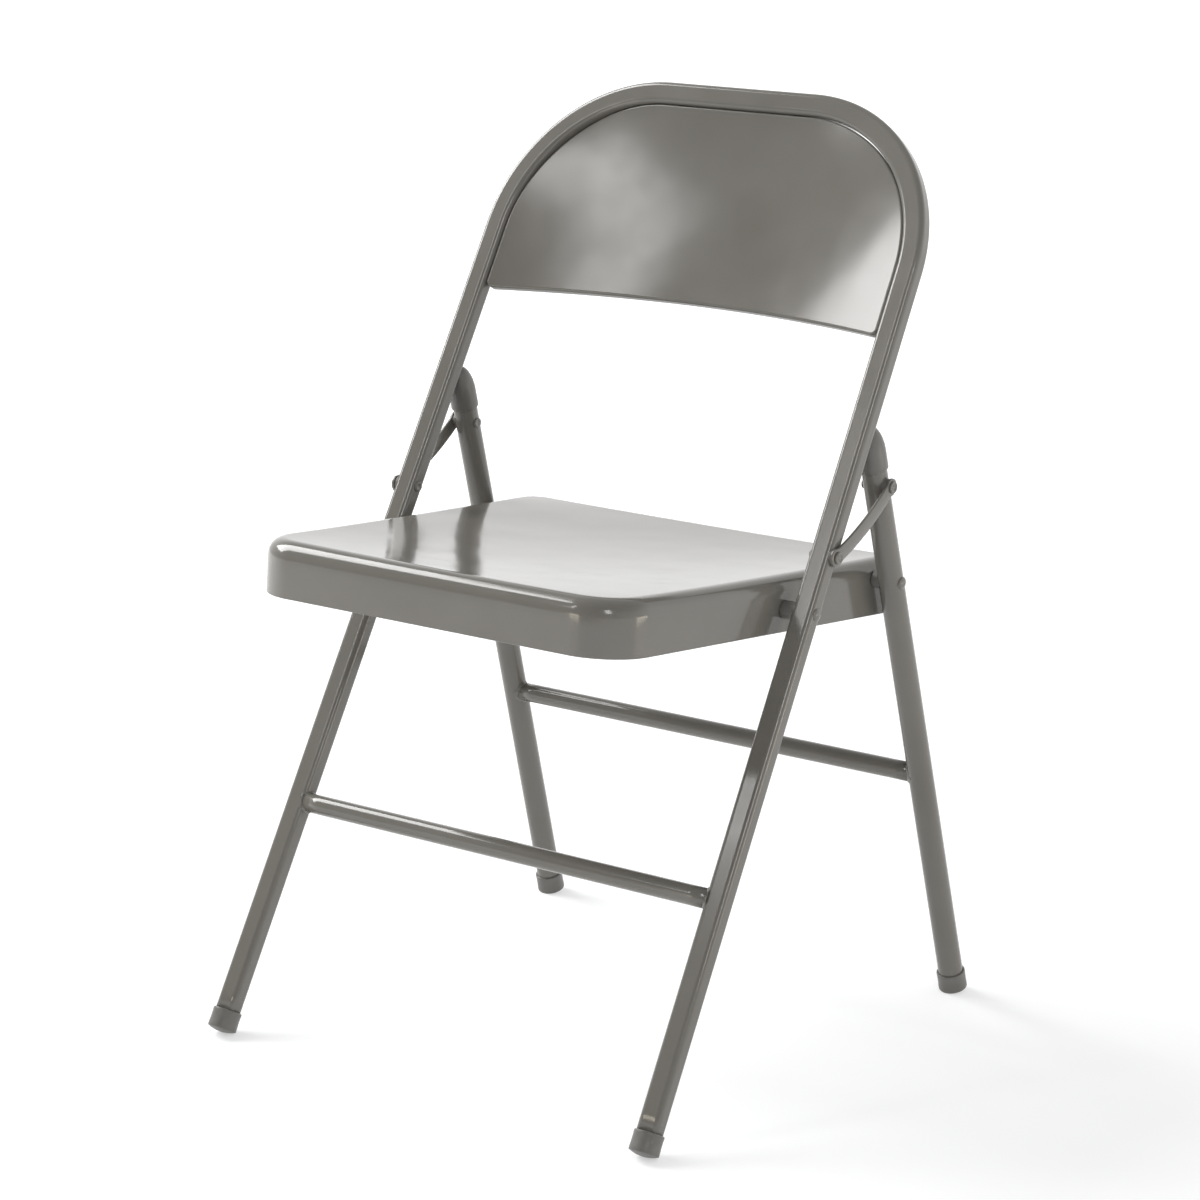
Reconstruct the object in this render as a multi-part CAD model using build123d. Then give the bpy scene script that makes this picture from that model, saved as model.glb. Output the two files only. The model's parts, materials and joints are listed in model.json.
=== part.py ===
from build123d import *
import os
from math import asin, cos, radians, sin, tan

# Folding steel chair: pressed seat and back panel on a tube frame.
#
# Axes: X to the right as seen from the front, Y towards the back, Z up, floor at Z = 0.
# The origin is under the middle of the chair. All sizes are in millimetres.

os.makedirs("parts", exist_ok=True)

# ---------------------------------------------------------------- driving dimensions
# front frame: one bent tube in one leaning plane, spread a little wider at the floor
FRONT_LEAN = 30.65        # degrees from upright, top towards the back
FRONT_FOOT_HALF = 223.3   # half the spacing of the tube's centre lines at the floor
FRONT_NARROWING = 9.1 / 800   # half spacing lost for each millimetre up the frame
FRAME_LENGTH = 892.8      # floor to the centre line of the top run, along the frame
FRAME_CORNER_R = 139.0    # centre line radius of the two upper bends
TUBE_W = 20.0             # front tube, across the chair
TUBE_D = 15.6             # front tube, front to back
TUBE_CORNER_R = 4.5
TUBE_WALL = 1.2
FRAME_START = 10.4        # lower ends of the tube, inside the feet

# rear legs: straight round tubes
REAR_LEAN = 14.95         # degrees from upright, top towards the front
REAR_FOOT_HALF = 223.5
REAR_NARROWING = 7.8 / 500
LEG_R = 10.8
LEG_WALL = 1.2
LEG_START = 6.0           # ends of the tube, along the leg
LEG_TOP = 528.0
FOOT_SPREAD = 467.0       # front to rear leg centre lines, at the floor

# cross rails between the legs
RAIL_R = 8.4
RAIL_WALL = 1.2
FRONT_RAIL_AT = 213.3     # along the front frame
REAR_RAIL_AT = 220.1      # along the rear legs
WELD_R = 2.2

# plastic feet and leg caps
FOOT_R = 12.5
FOOT_SIDE = 16.5          # height of the foot's straight side
SOLE_DOME = 3.0
SOLE_FLAT = 0.45          # depth of the flat where a foot rests on the floor
CAP_R = 12.2
CAP_SEAM = 511.0          # lower rim of the leg cap, along the leg
CAP_SHOULDER = 525.0
CAP_END = 550.0

# pivots: distances along the front frame and along the rear legs
SEAT_PIVOT_AT = 457.2
LINK_PIVOT_AT = 506.6
LEG_PIVOT_AT = 406.6
LEG_LINK_AT = 496.1
RIVET_R = 3.0
RIVET_HEAD_R = 5.2
RIVET_HEAD_H = 2.4
SPACER_R = 7.5

# seat pan: a pressed sheet, open below
SEAT_TILT = 5.7           # degrees, rear edge lower
SEAT_BASE_Z = 397.0       # height of the skirt's lower edge above the front feet
SEAT_FRONT = 10.8         # front edge, from the front foot line, along the pan
SEAT_BACK = 410.5
SEAT_HALF_FRONT = 188.8
SEAT_HALF_BACK = 203.0
SEAT_HEIGHT = 47.0
SEAT_DISH = 9.0
SEAT_FRONT_R = 46.0
SEAT_BACK_R = 28.0
SEAT_EDGE_R = 15.0
SHEET = 1.2
BRACKET_T = 2.0           # pivot strip inside the skirt
BRACKET_Z = 4.5
BRACKET_H = 32.5
BRACKET_GAP = 2.0         # between skirt and strip, clear of the rolled edge
CHANNEL_W = 42.0          # stiffener under the pan
CHANNEL_H = 16.0

# back panel: a pressed sheet set inside the upper part of the frame
PANEL_BOTTOM = 695.5      # lower corners, along the frame
PANEL_ARCH = 16.0         # rise of the lower edge at the middle
PANEL_HOLLOW = 24.0       # how far the middle is pressed back
PANEL_GAP = 0.8           # between panel edge and frame tube
PANEL_FACE = 4.6          # panel edge, forward of the frame's middle plane
PANEL_LOW_R = 7.0         # rounding of the two lower corners
FLANGE = 9.0
BEAD_R = 2.6              # weld beads between flange and tube
BEAD_LENGTH = 14.0

# folding links
LINK_W = 12.0
LINK_END_R = 7.8
LINK_T = 2.5
LINK_BOW = 4.0
LINK_INNER_X = 228.7      # inner face of the link plate

SLIDE_GAP = 0.35          # between faces that slide past each other
PIN_PLAY = 0.06           # radial clearance of a turning pin
SNUG = 0.03               # clearance between pieces that are fixed together
TAIL_R = 4.6              # formed tail of a rivet
TAIL_T = 1.4

# ---------------------------------------------------------------- working planes
FOOT_EDGE_UP = FOOT_R * tan(radians(FRONT_LEAN))
REACH_FRONT = FOOT_R * cos(radians(FRONT_LEAN)) - FOOT_EDGE_UP * sin(radians(FRONT_LEAN))
REACH_REAR = FOOT_R * cos(radians(REAR_LEAN))
Y_FRONT = -(FOOT_SPREAD + REACH_REAR - REACH_FRONT) / 2
Y_REAR = Y_FRONT + FOOT_SPREAD


def leaning_plane(y, lean, z=0.0):
    """Plane with local Y running up along a member that leans back by `lean` degrees."""
    a = radians(lean)
    return Plane(origin=(0, y, z), x_dir=(1, 0, 0), z_dir=(0, -cos(a), sin(a)))


FRAME = leaning_plane(Y_FRONT, FRONT_LEAN)       # local Z points forward
LEGS = leaning_plane(Y_REAR, -REAR_LEAN)         # local Z points forward
SEAT = Plane(
    origin=(0, Y_FRONT, SEAT_BASE_Z),
    x_dir=(1, 0, 0),
    z_dir=(0, sin(radians(SEAT_TILT)), cos(radians(SEAT_TILT))),
)                                                # local Y runs back, local Z up


def frame_half(s):
    """Half spacing of the front tube's centre lines at s along the frame."""
    return FRONT_FOOT_HALF - FRONT_NARROWING * s


def legs_half(t):
    """Half spacing of the rear legs' centre lines at t along the legs."""
    return REAR_FOOT_HALF - REAR_NARROWING * t


def in_world(plane, x, y, z=0.0):
    """World position of a point given in a plane's own coordinates."""
    return plane.from_local_coords(Vector(x, y, z))


PIVOT_A = in_world(FRAME, 0, SEAT_PIVOT_AT)      # seat on front frame
PIVOT_D = in_world(FRAME, 0, LINK_PIVOT_AT)      # link on front frame
PIVOT_B = in_world(LEGS, 0, LEG_PIVOT_AT)        # seat on rear legs
PIVOT_C = in_world(LEGS, 0, LEG_LINK_AT)         # link on rear legs

SIDES = {"left": -1, "right": 1}


def save(shape, node):
    """Write one piece of the chair to its own file."""
    shape.label = node
    export_step(shape, f"parts/{node}.step")


def largest(shape):
    """Largest solid of a shape."""
    return max(shape.solids(), key=lambda solid: solid.volume)


def pin(x0, x1, radius, at):
    """Cylinder along X between x0 and x1 through the pivot point `at`."""
    low, high = min(x0, x1), max(x0, x1)
    where = Location((low, at.Y, at.Z), (0, 90, 0))
    align = (Align.CENTER, Align.CENTER, Align.MIN)
    return where * Cylinder(radius, high - low, align=align)


# ---------------------------------------------------------------- solid envelopes
def tube_section(grow=0.0):
    """Cross section of the front tube, made larger all round by `grow`."""
    return RectangleRounded(TUBE_W + 2 * grow, TUBE_D + 2 * grow, TUBE_CORNER_R + grow)


def frame_path(s0):
    """Centre line of the front tube from s0 up one side, over the top and down again."""
    corners = [
        (-frame_half(s0), s0),
        (-frame_half(FRAME_LENGTH), FRAME_LENGTH),
        (frame_half(FRAME_LENGTH), FRAME_LENGTH),
        (frame_half(s0), s0),
    ]
    return FilletPolyline(*corners, radius=FRAME_CORNER_R)


def frame_bar(s0, grow=0.0):
    """Solid bar along the front tube's centre line."""
    path = frame_path(s0)
    start = Plane(origin=path @ 0, x_dir=(0, 0, 1), z_dir=path % 0)
    section = start * Rotation(0, 0, 90) * tube_section(grow)
    return sweep(section, path=path)


def leg_bar(side, t0, t1, radius):
    """Solid round bar along one rear leg, in the legs' plane."""
    low = Vector(side * legs_half(t0), t0, 0)
    high = Vector(side * legs_half(t1), t1, 0)
    run = Plane(origin=low, z_dir=high - low)
    align = (Align.CENTER, Align.CENTER, Align.MIN)
    return run.location * Cylinder(radius, (high - low).length, align=align)


# ---------------------------------------------------------------- front frame
frame_solid = FRAME.location * frame_bar(FRAME_START)
frame_bore = FRAME.location * frame_bar(FRAME_START - 1, -TUBE_WALL)

leg_solid = {}
for name, side in SIDES.items():
    leg_solid[name] = LEGS.location * leg_bar(side, LEG_START, LEG_TOP, LEG_R)


def frame_tube():
    """Bent front tube with its rivet holes."""
    tube = frame_solid - frame_bore
    for at in (PIVOT_A, PIVOT_D):
        for side in SIDES.values():
            tube -= pin(side * 190, side * 250, RIVET_R + SNUG, at)
    return tube


def rail(plane, at, half, trims):
    """Cross rail whose ends are shaped to the tubes that it meets."""
    centre = in_world(plane, 0, at)
    bar = pin(-half, half, RAIL_R, centre)
    for trim in trims:
        bar -= trim
    return largest(bar) - pin(-half, half, RAIL_R - RAIL_WALL, centre)


def rail_welds(plane, at, face, trims):
    """Weld bead round each end of a cross rail."""
    centre = in_world(plane, 0, at)
    beads = []
    for side in SIDES.values():
        ring = pin(side * face, side * (face + WELD_R), RAIL_R + WELD_R, centre)
        slope = Cone(RAIL_R + WELD_R, RAIL_R + 0.3, WELD_R, align=(Align.CENTER, Align.CENTER, Align.MIN))
        ring += Location((side * face, centre.Y, centre.Z), (0, -side * 90, 0)) * slope
        ring -= pin(-face - 20, face + 20, RAIL_R, centre)
        for trim in trims:
            ring -= trim
        beads.append(largest(ring))
    return Compound(children=beads)


# ---------------------------------------------------------------- feet and caps
def foot_profile(rise):
    """Half section of a foot with a domed sole, its edge `rise` above the plane's origin."""
    return [
        (0, rise - SOLE_DOME),
        (FOOT_R, rise),
        (FOOT_R, rise + FOOT_SIDE - 1),
        (FOOT_R - 1, rise + FOOT_SIDE),
        (0, rise + FOOT_SIDE),
    ]


def foot_body(rise):
    """Solid foot about the local Z axis, standing on its domed sole."""
    apex, edge, side_top, rim, middle = foot_profile(rise)
    dome_r = (FOOT_R**2 + SOLE_DOME**2) / (2 * SOLE_DOME)
    with BuildPart() as body:
        with BuildSketch(Plane.XZ):
            with BuildLine():
                RadiusArc(apex, edge, -dome_r)
                Polyline(edge, side_top, rim, middle, apex)
            make_face()
        revolve(axis=Axis.Z)
    return body.part


def foot(bar, low, high, rise):
    """Foot pushed over the end of a tube that runs from `low` up to `high`."""
    run = Plane(origin=low, x_dir=(1, 0, 0), z_dir=high - low)
    cup = run.location * foot_body(rise)
    cup -= bar
    cup = largest(cup)
    floor = Box(900, 900, 50, align=(Align.CENTER, Align.CENTER, Align.MAX))
    return cup - floor


def foot_rise(lean):
    """Height of the sole's edge along the leg, so that the foot's flat lies on the floor."""
    a = radians(lean)
    dome_r = (FOOT_R**2 + SOLE_DOME**2) / (2 * SOLE_DOME)
    if a > asin(FOOT_R / dome_r):
        return FOOT_R * tan(a) - SOLE_FLAT / cos(a)
    return (dome_r - SOLE_FLAT) / cos(a) - dome_r + SOLE_DOME


def leg_cap(side):
    """Rounded plastic cap on a rear leg, cut flat where it meets the front tube."""
    low = Vector(side * legs_half(CAP_SEAM), CAP_SEAM, 0)
    high = Vector(side * legs_half(CAP_END), CAP_END, 0)
    run = Plane(origin=low, x_dir=(1, 0, 0), z_dir=high - low)
    shoulder = CAP_SHOULDER - CAP_SEAM
    end = CAP_END - CAP_SEAM
    with BuildPart() as body:
        with BuildSketch(Plane.XZ):
            with BuildLine():
                Polyline((0, 0), (CAP_R - 0.8, 0), (CAP_R, 0.8), (CAP_R, shoulder))
                Spline((CAP_R, shoulder), (0, end), tangents=((0, 1), (-1, 0)))
                Line((0, end), (0, 0))
            make_face()
        revolve(axis=Axis.Z)
    cap = LEGS.location * run.location * body.part
    behind = -(TUBE_D / 2 + SLIDE_GAP)
    stop = Location((0, 600, behind)) * Box(900, 600, 200, align=(Align.CENTER, Align.CENTER, Align.MIN))
    cap -= FRAME.location * stop
    return largest(cap - LEGS.location * leg_bar(side, CAP_SEAM - 5, LEG_TOP + SNUG, LEG_R + SNUG))


# ---------------------------------------------------------------- seat
def seat_half(y):
    """Half width of the seat pan at y along it."""
    share = (y - SEAT_FRONT) / (SEAT_BACK - SEAT_FRONT)
    return SEAT_HALF_FRONT + (SEAT_HALF_BACK - SEAT_HALF_FRONT) * share


def seat_outline(inset=0.0):
    """Plan shape of the seat pan, with rounded corners, drawn in by `inset`."""
    corners = [
        (-SEAT_HALF_FRONT, SEAT_FRONT),
        (SEAT_HALF_FRONT, SEAT_FRONT),
        (SEAT_HALF_BACK, SEAT_BACK),
        (-SEAT_HALF_BACK, SEAT_BACK),
    ]
    with BuildSketch() as plan:
        with BuildLine():
            Polyline(*corners, close=True)
        make_face()
        fillet(plan.vertices().sort_by(Axis.Y)[:2], SEAT_FRONT_R)
        fillet([v for v in plan.vertices() if v.Y > SEAT_BACK - 1], SEAT_BACK_R)
        if inset:
            offset(amount=-inset, mode=Mode.REPLACE)
    return plan.sketch


def seat_top(x, y):
    """Height of the pan's hollowed upper face above the skirt's lower edge."""
    middle = (SEAT_FRONT + SEAT_BACK) / 2
    along = (y - middle) / (SEAT_BACK - middle)
    across = x / SEAT_HALF_BACK
    return SEAT_HEIGHT - SEAT_DISH * max(0.0, 1 - across**2) * max(0.0, 1 - along**2)


def below_seat_top(drop):
    """Solid that fills everything below the pan's upper face, lowered by `drop`."""
    steps = 9
    reach = 240.0
    middle = (SEAT_FRONT + SEAT_BACK) / 2
    points = []
    for i in range(steps):
        x = -reach + 2 * reach * i / (steps - 1)
        row = []
        for j in range(steps):
            y = middle - reach + 2 * reach * j / (steps - 1)
            row.append(Vector(x, y, seat_top(x, y) - drop))
        points.append(row)
    top = Face.make_surface_from_array_of_points(points)
    return Solid.extrude(top, Vector(0, 0, -120))


def seat_block(inset):
    """Seat pan as a full block, drawn in by `inset` on the sides and the top."""
    block = extrude(seat_outline(inset), amount=SEAT_HEIGHT + 20)
    block = block & below_seat_top(inset)
    block = largest(block)
    rim = [e for e in block.edges() if e.center().Z > SEAT_HEIGHT - 15 and e.length > 1]
    return fillet(rim, SEAT_EDGE_R - inset)


SEAT_A = SEAT.to_local_coords(PIVOT_A)
SEAT_B = SEAT.to_local_coords(PIVOT_B)


def seat_pan():
    """Pressed seat pan with the four pivot holes in its skirt."""
    pan = SEAT.location * (seat_block(0) - seat_block(SHEET))
    for at in (PIVOT_A, PIVOT_B):
        pan -= pin(-230, 230, RIVET_R + PIN_PLAY, at)
    return largest(pan)


def pivot_bracket():
    """Strip inside the right skirt that carries both pivots of that side."""
    y0 = SEAT_A.Y - 28
    y1 = SEAT_B.Y + 11
    outer = SHEET + BRACKET_GAP
    inner = outer + BRACKET_T
    plan = Polygon(
        (seat_half(y0) - inner, y0),
        (seat_half(y0) - outer, y0),
        (seat_half(y1) - outer, y1),
        (seat_half(y1) - inner, y1),
        align=None,
    )
    strip = Location((0, 0, BRACKET_Z)) * extrude(plan, amount=BRACKET_H)
    strip = SEAT.location * strip
    for at in (PIVOT_A, PIVOT_B):
        strip -= pin(-230, 230, RIVET_R + PIN_PLAY, at)
    return strip


def sided(shape, side):
    """The right-hand shape itself, or its mirror image for the left."""
    return shape if side > 0 else mirror(shape, about=Plane.YZ)


def seat_stiffener():
    """Open channel under the pan, from one pivot bracket to the other."""
    middle = (SEAT_A.Y + SEAT_B.Y) / 2
    half = seat_half(middle - CHANNEL_W / 2) - SHEET - BRACKET_GAP - BRACKET_T - 0.3
    top = SEAT_HEIGHT - SEAT_DISH - SHEET - 0.6
    align = (Align.CENTER, Align.CENTER, Align.MAX)
    outer = Box(2 * half, CHANNEL_W, CHANNEL_H, align=align)
    hollow = Box(2 * half, CHANNEL_W - 2 * SHEET, CHANNEL_H, align=align)
    channel = outer - Location((0, 0, -SHEET)) * hollow
    return SEAT.location * Location((0, middle, top)) * channel


# ---------------------------------------------------------------- back panel
def panel_outline(inset=0.0, drop=0.0):
    """Front view of the back panel: it follows the frame and has an arched lower edge."""
    edge = TUBE_W / 2 + PANEL_GAP + inset
    top = FRAME_LENGTH - edge
    bottom = PANEL_BOTTOM - drop
    low, high = frame_half(bottom) - edge, frame_half(top) - edge
    with BuildSketch() as face:
        with BuildLine():
            Polyline((-low, bottom), (-high, top), (high, top), (low, bottom))
            ThreePointArc((low, bottom), (0, bottom + PANEL_ARCH), (-low, bottom))
        make_face()
        fillet([v for v in face.vertices() if v.Y > top - 1], FRAME_CORNER_R - edge)
        fillet([v for v in face.vertices() if v.Y < bottom + 1], PANEL_LOW_R)
    return face.sketch


def panel_depth(x, s):
    """Position of the panel's front face, forward of the frame's middle plane."""
    edge = TUBE_W / 2 + PANEL_GAP
    top = FRAME_LENGTH - edge
    down = min(1.1, max(0.0, (top - s) / (top - PANEL_BOTTOM)))
    across = min(1.0, abs(x) / (frame_half(s) - edge))
    return PANEL_FACE - PANEL_HOLLOW * (1 - across**2) * (1 - (1 - down) ** 2)


def back_panel():
    """Hollowed sheet with a flange turned back along the frame."""
    steps = 21
    half, low, high = 206.0, PANEL_BOTTOM - 5, FRAME_LENGTH - TUBE_W / 2
    points = []
    for i in range(steps):
        x = -half + 2 * half * i / (steps - 1)
        row = []
        for j in range(steps):
            s = low + (high - low) * j / (steps - 1)
            row.append(Vector(x, s, panel_depth(x, s)))
        points.append(row)
    face = Face.make_surface_from_array_of_points(points)
    sheet = Solid.extrude(face, Vector(0, 0, -SHEET))
    prism = Location((0, 0, -60)) * extrude(panel_outline(), amount=120)
    sheet = largest(sheet & prism)
    rim = extrude(panel_outline(), amount=FLANGE) - extrude(panel_outline(SHEET, 40), amount=FLANGE)
    rim = Location((0, 0, PANEL_FACE - FLANGE)) * largest(rim)
    return FRAME.location * (sheet + rim)


def panel_welds():
    """Short weld beads behind the panel that hold its flange to the frame tube."""
    gap = TUBE_W / 2 + PANEL_GAP / 2
    depth = PANEL_FACE - FLANGE
    taken = frame_bar(FRAME_START, SNUG)
    taken += Location((0, 0, -60)) * extrude(panel_outline(-SNUG), amount=120)
    runs = [((x, FRAME_LENGTH - gap, depth), (1, 0, 0)) for x in (-60, 60)]
    for s in (720, 775):
        for side in SIDES.values():
            runs.append(((side * (frame_half(s) - gap), s, depth), (-side * FRONT_NARROWING, 1, 0)))
    beads = []
    for middle, along in runs:
        bead = Plane(origin=middle, z_dir=along).location * Cylinder(BEAD_R, BEAD_LENGTH)
        beads.append(FRAME.location * largest(bead - taken))
    return Compound(children=beads)


# ---------------------------------------------------------------- rivets, spacers, links
def rivet_head(x_base, side, at, depth=0.0):
    """Low domed head pointing outward from x_base, reaching `depth` back under its rim."""
    rise = RIVET_HEAD_H - 0.6
    dome_r = (RIVET_HEAD_R**2 + rise**2) / (2 * rise)
    with BuildPart() as head:
        with BuildSketch(Plane.XZ):
            with BuildLine():
                Polyline((0, RIVET_HEAD_H), (0, -depth), (RIVET_HEAD_R, -depth), (RIVET_HEAD_R, 0.6))
                RadiusArc((RIVET_HEAD_R, 0.6), (0, RIVET_HEAD_H), -dome_r)
            make_face()
        revolve(axis=Axis.Z)
    return Location((x_base, at.Y, at.Z), (0, side * 90, 0)) * head.part


def rivet(at, side, x_head, x_tail, tube, head_depth=0.0, tail_depth=0.0):
    """Rivet with a domed head outside and a flat tail inside, clear of the tube's walls."""
    head = rivet_head(x_head, side, at, head_depth)
    tail = pin(x_tail + side * tail_depth, x_tail - side * TAIL_T, TAIL_R, at)
    body = (head - tube) + (tail - tube)
    return largest(body + pin(x_head, x_tail, RIVET_R, at))


def link_plate():
    """Slightly bowed link on the right, from the front frame to the rear leg."""
    run = Vector(0, PIVOT_C.Y - PIVOT_D.Y, PIVOT_C.Z - PIVOT_D.Z)
    plane = Plane(origin=(LINK_INNER_X, PIVOT_D.Y, PIVOT_D.Z), x_dir=run, z_dir=(1, 0, 0))
    length = run.length
    with BuildSketch() as shape:
        with BuildLine():
            bow = ThreePointArc((0, 0), (length / 2, -LINK_BOW), (length, 0))
        SlotArc(bow, LINK_W)
        with Locations((0, 0)):
            Circle(LINK_END_R)
        with Locations((length, 0)):
            Circle(LINK_END_R - 0.6)
    plate = extrude(shape.sketch, amount=LINK_T)
    plate = plane.location * plate
    plate -= pin(200, 260, RIVET_R + PIN_PLAY, PIVOT_D)
    plate -= pin(200, 260, RIVET_R + SNUG, PIVOT_C)
    return plate


# ---------------------------------------------------------------- write every piece
frame_bars = [frame_solid]
leg_bars = list(leg_solid.values())
LINK_OUTER_X = LINK_INNER_X + LINK_T
A_FACE = frame_half(SEAT_PIVOT_AT) + TUBE_W / 2
B_FACE = legs_half(LEG_PIVOT_AT) + LEG_R
BRACKET_INNER_A = seat_half(SEAT_A.Y) - SHEET - BRACKET_GAP - BRACKET_T
BRACKET_INNER_B = seat_half(SEAT_B.Y) - SHEET - BRACKET_GAP - BRACKET_T

save(frame_tube(), "front_frame_tube")
front_rail_half = frame_half(FRONT_RAIL_AT)
save(rail(FRAME, FRONT_RAIL_AT, front_rail_half, frame_bars), "front_rail")
save(rail_welds(FRAME, FRONT_RAIL_AT, front_rail_half - TUBE_W / 2, frame_bars), "front_rail_welds")
rear_rail_half = legs_half(REAR_RAIL_AT)
save(rail(LEGS, REAR_RAIL_AT, rear_rail_half, leg_bars), "rear_rail")
save(rail_welds(LEGS, REAR_RAIL_AT, rear_rail_half - LEG_R + 0.8, leg_bars), "rear_rail_welds")

save(back_panel(), "back_panel")
save(panel_welds(), "back_panel_welds")

save(seat_pan(), "seat_pan")
save(seat_stiffener(), "seat_stiffener")

frame_fit = FRAME.location * frame_bar(FRAME_START - SNUG, SNUG)
rise_front, rise_rear = foot_rise(FRONT_LEAN), foot_rise(REAR_LEAN)
front_rivets, front_spacers, link_rivets, link_washers = [], [], [], []
for name, side in SIDES.items():
    leg = leg_solid[name]
    low, high = (in_world(FRAME, side * frame_half(s), s) for s in (0, 100))
    save(foot(frame_fit, low, high, rise_front), f"{name}_front_foot")
    low, high = (in_world(LEGS, side * legs_half(t), t) for t in (0, 100))
    leg_fit = LEGS.location * leg_bar(side, LEG_START - SNUG, LEG_TOP, LEG_R + SNUG)
    save(foot(leg_fit, low, high, rise_rear), f"{name}_rear_foot")

    tube = leg - LEGS.location * leg_bar(side, LEG_START - 2, LEG_TOP + 2, LEG_R - LEG_WALL)
    for at in (PIVOT_B, PIVOT_C):
        tube -= pin(side * 190, side * 250, RIVET_R + SNUG, at)
    save(tube, f"{name}_rear_leg")
    save(leg_cap(side), f"{name}_leg_cap")
    save(sided(pivot_bracket(), side), f"{name}_pivot_bracket")

    # seat on front frame
    x_tail = side * (BRACKET_INNER_A - SLIDE_GAP)
    front_rivets.append(rivet(PIVOT_A, side, side * A_FACE, x_tail, frame_solid, head_depth=1.5))
    sleeve = pin(side * (seat_half(SEAT_A.Y) + SLIDE_GAP + 0.15), side * (A_FACE - 8), SPACER_R, PIVOT_A)
    sleeve = largest(sleeve - frame_solid) - pin(side * 180, side * 240, RIVET_R + SNUG, PIVOT_A)
    front_spacers.append(sleeve)

    # seat on rear legs
    x_tail = side * (BRACKET_INNER_B - SLIDE_GAP)
    save(rivet(PIVOT_B, side, side * B_FACE, x_tail, leg, head_depth=2.5), f"{name}_rear_pivot_rivet")
    sleeve = pin(side * (seat_half(SEAT_B.Y) + SLIDE_GAP + 0.15), side * (B_FACE - 8), SPACER_R, PIVOT_B)
    sleeve = largest(sleeve - leg) - pin(side * 180, side * 240, RIVET_R + SNUG, PIVOT_B)
    save(sleeve, f"{name}_rear_pivot_spacer")

    # link on front frame
    face = frame_half(LINK_PIVOT_AT) - TUBE_W / 2
    x_head = side * (LINK_OUTER_X + SLIDE_GAP)
    link_rivets.append(rivet(PIVOT_D, side, x_head, side * face, frame_solid, tail_depth=1.5))
    washer = pin(side * (face + 12), side * (LINK_INNER_X - SLIDE_GAP), LINK_END_R - 0.8, PIVOT_D)
    washer = washer - frame_solid - pin(side * 180, side * 240, RIVET_R + SNUG, PIVOT_D)
    link_washers.append(largest(washer))

    # link on rear leg: the head turns with the link, the rest stays in the leg
    face = legs_half(LEG_LINK_AT) - LEG_R
    save(sided(link_plate(), side), f"{name}_link")
    head = rivet_head(side * LINK_OUTER_X, side, PIVOT_C)
    head += pin(side * (LINK_INNER_X + 0.05), side * LINK_OUTER_X, RIVET_R, PIVOT_C)
    save(head, f"{name}_link_rivet_head")
    x_end = side * (LINK_INNER_X - SLIDE_GAP)
    tail = pin(side * (face + 2.5), side * (face - TAIL_T), TAIL_R, PIVOT_C) - leg
    tail = max(tail.solids(), key=lambda solid: -abs(solid.center().X))
    save(largest(tail + pin(x_end, side * face, RIVET_R, PIVOT_C)), f"{name}_link_rivet_tail")
    washer = pin(side * (face + 14), x_end, LINK_END_R - 1.4, PIVOT_C)
    washer = washer - leg - pin(side * 180, side * 240, RIVET_R + SNUG, PIVOT_C)
    save(largest(washer), f"{name}_link_washer")

save(Compound(children=front_rivets), "seat_pivot_rivets")
save(Compound(children=front_spacers), "seat_pivot_spacers")
save(Compound(children=link_rivets), "link_pivot_rivets")
save(Compound(children=link_washers), "link_pivot_washers")
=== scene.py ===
import json
import math

import bmesh
import bpy
from mathutils import Matrix, Vector


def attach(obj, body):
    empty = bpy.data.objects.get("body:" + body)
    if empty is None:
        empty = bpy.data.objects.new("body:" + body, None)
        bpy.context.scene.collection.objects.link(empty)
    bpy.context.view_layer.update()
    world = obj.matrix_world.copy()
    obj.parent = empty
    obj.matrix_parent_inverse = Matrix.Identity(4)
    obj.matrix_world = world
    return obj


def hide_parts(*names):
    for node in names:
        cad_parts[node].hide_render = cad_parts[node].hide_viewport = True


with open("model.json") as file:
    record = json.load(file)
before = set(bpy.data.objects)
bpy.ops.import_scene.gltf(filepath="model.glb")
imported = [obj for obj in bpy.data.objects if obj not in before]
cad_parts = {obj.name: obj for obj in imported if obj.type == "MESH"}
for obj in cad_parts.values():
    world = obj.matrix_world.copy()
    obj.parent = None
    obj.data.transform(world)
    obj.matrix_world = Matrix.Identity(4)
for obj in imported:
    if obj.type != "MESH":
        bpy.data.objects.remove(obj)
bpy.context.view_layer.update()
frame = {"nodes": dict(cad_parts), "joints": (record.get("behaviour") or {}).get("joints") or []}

# ---------------------------------------------------------------- driving sizes, in metres
FRONT_LEAN = math.radians(30.65)      # from upright, top towards the back
FRONT_FOOT_HALF = 0.2233              # half spacing of the front tube's centre lines at the floor
FRONT_NARROWING = 9.1 / 800           # half spacing lost along the frame
FRAME_LENGTH = 0.8928                 # floor to the top run, along the frame
FRAME_CORNER_R = 0.139
TUBE_W, TUBE_D, TUBE_CORNER_R = 0.020, 0.0156, 0.0045
FRAME_START = 0.0104

REAR_LEAN = math.radians(14.95)       # from upright, top towards the front
REAR_FOOT_HALF = 0.2235
REAR_NARROWING = 7.8 / 500
LEG_R, LEG_START, LEG_TOP = 0.0108, 0.006, 0.528

RAIL_R = 0.0084
FRONT_RAIL_AT, REAR_RAIL_AT = 0.2133, 0.2201
WELD_R = 0.0022

FOOT_R, FOOT_SIDE, SOLE_DOME, SOLE_FLAT = 0.0125, 0.0165, 0.003, 0.00045
CAP_R, CAP_SEAM, CAP_SHOULDER, CAP_END = 0.0122, 0.511, 0.525, 0.550

LEG_LINK_AT = 0.4961
RIVET_R, HEAD_R, HEAD_H = 0.003, 0.0052, 0.0024
SPACER_R = 0.0075
TAIL_R, TAIL_T = 0.0046, 0.0014

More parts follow.
